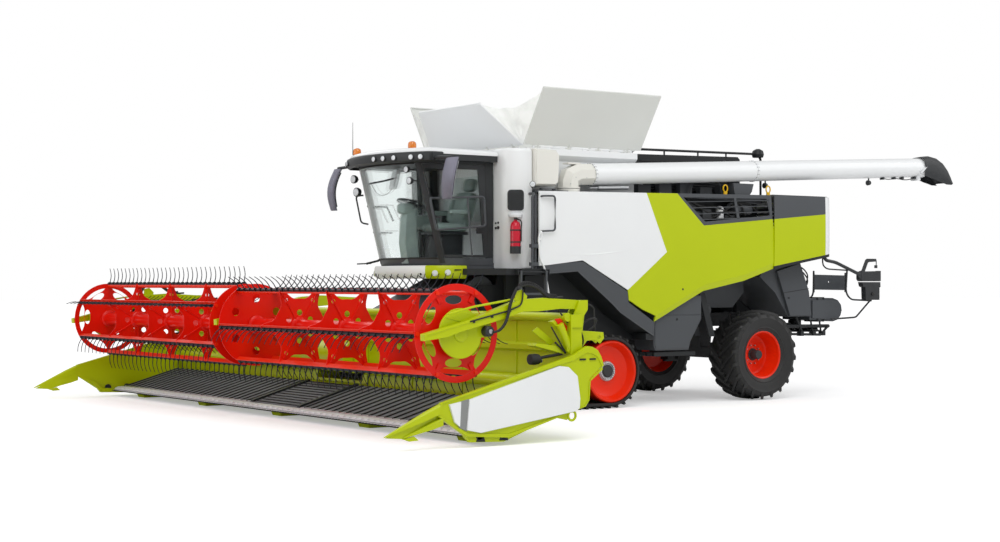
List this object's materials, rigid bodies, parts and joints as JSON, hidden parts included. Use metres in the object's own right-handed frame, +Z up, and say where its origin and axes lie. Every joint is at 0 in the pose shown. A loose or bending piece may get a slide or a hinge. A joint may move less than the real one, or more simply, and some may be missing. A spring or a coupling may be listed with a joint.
{
  "type": "combine_harvester",
  "caption": "Half-track combine harvester with a wide draper header, pick-up reel, open folding grain tank top and a long unloading auger folded to the rear.",
  "frame": {"origin": "On the ground at the centre of the whole machine's footprint box.", "axes": "+X points forward to the crop dividers, +Y to the driver's left, where the unloading auger lies, and +Z up."},
  "size_m": [13.87, 10.98, 4.6638],
  "materials": {
    "white_paint": "gloss",
    "lime_paint": "gloss",
    "grey_paint": "satin",
    "dark_steel": "matte",
    "light_grey_sheet": "satin",
    "red_paint": "gloss",
    "orange_paint": "gloss",
    "steel": "satin",
    "chrome_rod": "polished",
    "cast": "matte",
    "black_rubber": "matte",
    "draper_fabric": "matte",
    "tyre_rubber": "matte",
    "black_plastic": "matte",
    "amber_plastic": "gloss",
    "clear_glass": "clear"
  },
  "bodies": {
    "chassis": {"main_frame": "dark_steel", "tow_hitch": "dark_steel", "track_belts": "black_rubber", "track_wheels": "orange_paint", "rear_axle": "dark_steel", "separator_housing": "grey_paint", "grain_tank": "white_paint", "auger_turret": "grey_paint", "engine_deck": "grey_paint", "rear_hood": "white_paint", "fenders": "grey_paint", "side_boxes": "grey_paint", "engine": "cast", "cooler": "dark_steel", "exhaust": "steel", "chopper": "grey_paint", "spreader": "grey_paint", "cab_shell": "dark_steel", "cab_glass": "clear_glass", "cab_roof": "white_paint", "cab_bumper": "white_paint", "cab_interior": "black_plastic", "platform": "dark_steel", "service_tower": "white_paint", "mirrors": "black_plastic", "beacons": "amber_plastic", "rear_lamp_arms": "dark_steel"},
    "header": {"feeder_house": "grey_paint", "header_frame": "lime_paint", "draper_belts": "draper_fabric", "cutterbar": "steel", "header_shields": "lime_paint", "crop_dividers": "lime_paint"},
    "feed_drum": {"feed_drum": "lime_paint"},
    "lift_barrels": {"lift_barrels": "dark_steel"},
    "lift_rods": {"lift_rods": "chrome_rod"},
    "reel_arms": {"reel_arms": "lime_paint"},
    "reel_carriages": {"reel_carriages": "lime_paint"},
    "reel": {"reel_frame": "red_paint", "reel_bats": "orange_paint"},
    "left_knuckle": {"left_knuckle": "cast"},
    "right_knuckle": {"right_knuckle": "cast"},
    "left_rear_wheel": {"left_rear_rim": "orange_paint", "left_rear_tyre": "tyre_rubber"},
    "right_rear_wheel": {"right_rear_rim": "orange_paint", "right_rear_tyre": "tyre_rubber"},
    "unloading_auger": {"auger_tube": "white_paint", "auger_spout": "black_rubber"},
    "cab_door": {"cab_door": "dark_steel", "door_glass": "clear_glass"},
    "left_side_panel": {"left_side_panel": "white_paint", "left_side_grille": "grey_paint"},
    "right_side_panel": {"right_side_panel": "white_paint", "right_side_grille": "grey_paint"},
    "left_tank_flap": {"left_tank_flap": "light_grey_sheet"},
    "right_tank_flap": {"right_tank_flap": "light_grey_sheet"},
    "front_tank_flap": {"front_tank_flap": "light_grey_sheet"},
    "rear_tank_flap": {"rear_tank_flap": "light_grey_sheet"},
    "ladder": {"ladder": "steel"}
  },
  "joints": [
    {"name": "header_lift", "type": "hinge", "parent": "chassis", "child": "header", "pos_m": [2.375, 0, 1.715], "axis": [0, -1, 0], "range_deg": [0, 22]},
    {"name": "lift_barrel_swing", "type": "hinge", "parent": "chassis", "child": "lift_barrels", "pos_m": [1.925, 0, 0.76], "axis": [0, -1, 0], "range_deg": [0, 15.6]},
    {"name": "lift_rod_slide", "type": "slide", "parent": "lift_barrels", "child": "lift_rods", "axis": [0.9985, 0, -0.0547], "range_m": [0, 0.36]},
    {"name": "feed_drum_spin", "type": "hinge", "parent": "header", "child": "feed_drum", "pos_m": [4.425, 0, 0.82], "axis": [0, 1, 0], "continuous": true},
    {"name": "reel_lift", "type": "hinge", "parent": "header", "child": "reel_arms", "pos_m": [4.085, 0, 1.6], "axis": [0, -1, 0], "range_deg": [-6, 28]},
    {"name": "reel_reach", "type": "slide", "parent": "reel_arms", "child": "reel_carriages", "axis": [0.9848, 0, -0.1736], "range_m": [-0.25, 0.15]},
    {"name": "reel_spin", "type": "hinge", "parent": "reel_carriages", "child": "reel", "pos_m": [5.765, 0, 1.28], "axis": [0, 1, 0], "continuous": true},
    {"name": "left_steer", "type": "hinge", "parent": "chassis", "child": "left_knuckle", "pos_m": [-2.495, 0.87, 0.715], "axis": [0, 0, 1], "range_deg": [-45, 45]},
    {"name": "right_steer", "type": "hinge", "parent": "chassis", "child": "right_knuckle", "pos_m": [-2.495, -0.87, 0.715], "axis": [0, 0, 1], "range_deg": [-45, 45]},
    {"name": "left_rear_wheel_spin", "type": "hinge", "parent": "left_knuckle", "child": "left_rear_wheel", "pos_m": [-2.495, 1.27, 0.715], "axis": [0, 1, 0], "continuous": true},
    {"name": "right_rear_wheel_spin", "type": "hinge", "parent": "right_knuckle", "child": "right_rear_wheel", "pos_m": [-2.495, -1.27, 0.715], "axis": [0, 1, 0], "continuous": true},
    {"name": "auger_swing", "type": "hinge", "parent": "chassis", "child": "unloading_auger", "pos_m": [1.305, 1.4, 3.235], "axis": [0, 0, -1], "range_deg": [0, 100]},
    {"name": "cab_door_swing", "type": "hinge", "parent": "chassis", "child": "cab_door", "pos_m": [2.485, 1.022, 2.85], "axis": [0, 0, 1], "range_deg": [0, 75]},
    {"name": "left_panel_lift", "type": "hinge", "parent": "chassis", "child": "left_side_panel", "pos_m": [-0.335, 1.556, 3.216], "axis": [1, 0, 0], "range_deg": [0, 75]},
    {"name": "right_panel_lift", "type": "hinge", "parent": "chassis", "child": "right_side_panel", "pos_m": [-0.335, -1.556, 3.216], "axis": [-1, 0, 0], "range_deg": [0, 75]},
    {"name": "left_flap_fold", "type": "hinge", "parent": "chassis", "child": "left_tank_flap", "pos_m": [0.95, 1.2875, 3.839], "axis": [1, 0, 0], "range_deg": [0, 102]},
    {"name": "right_flap_fold", "type": "hinge", "parent": "chassis", "child": "right_tank_flap", "pos_m": [0.95, -1.2875, 3.839], "axis": [-1, 0, 0], "range_deg": [0, 102]},
    {"name": "front_flap_fold", "type": "hinge", "parent": "chassis", "child": "front_tank_flap", "pos_m": [1.9725, 0, 3.839], "axis": [0, -1, 0], "range_deg": [0, 140.1]},
    {"name": "rear_flap_fold", "type": "hinge", "parent": "chassis", "child": "rear_tank_flap", "pos_m": [-0.0725, 0, 3.839], "axis": [0, 1, 0], "range_deg": [0, 140.1]},
    {"name": "ladder_fold", "type": "hinge", "parent": "chassis", "child": "ladder", "pos_m": [2.165, 1.695, 2.01], "axis": [1, 0, 0], "range_deg": [0, 80]}
  ],
  "couplings": [
    {"joint": "lift_barrel_swing", "follows": "header_lift", "ratio": 0.688},
    {"joint": "lift_rod_slide", "follows": "header_lift", "m_per_rad": 0.928},
    {"joint": "right_steer", "follows": "left_steer", "ratio": 1},
    {"joint": "right_flap_fold", "follows": "left_flap_fold", "ratio": 1},
    {"joint": "front_flap_fold", "follows": "left_flap_fold", "ratio": 1.3725},
    {"joint": "rear_flap_fold", "follows": "left_flap_fold", "ratio": 1.3725}
  ]
}
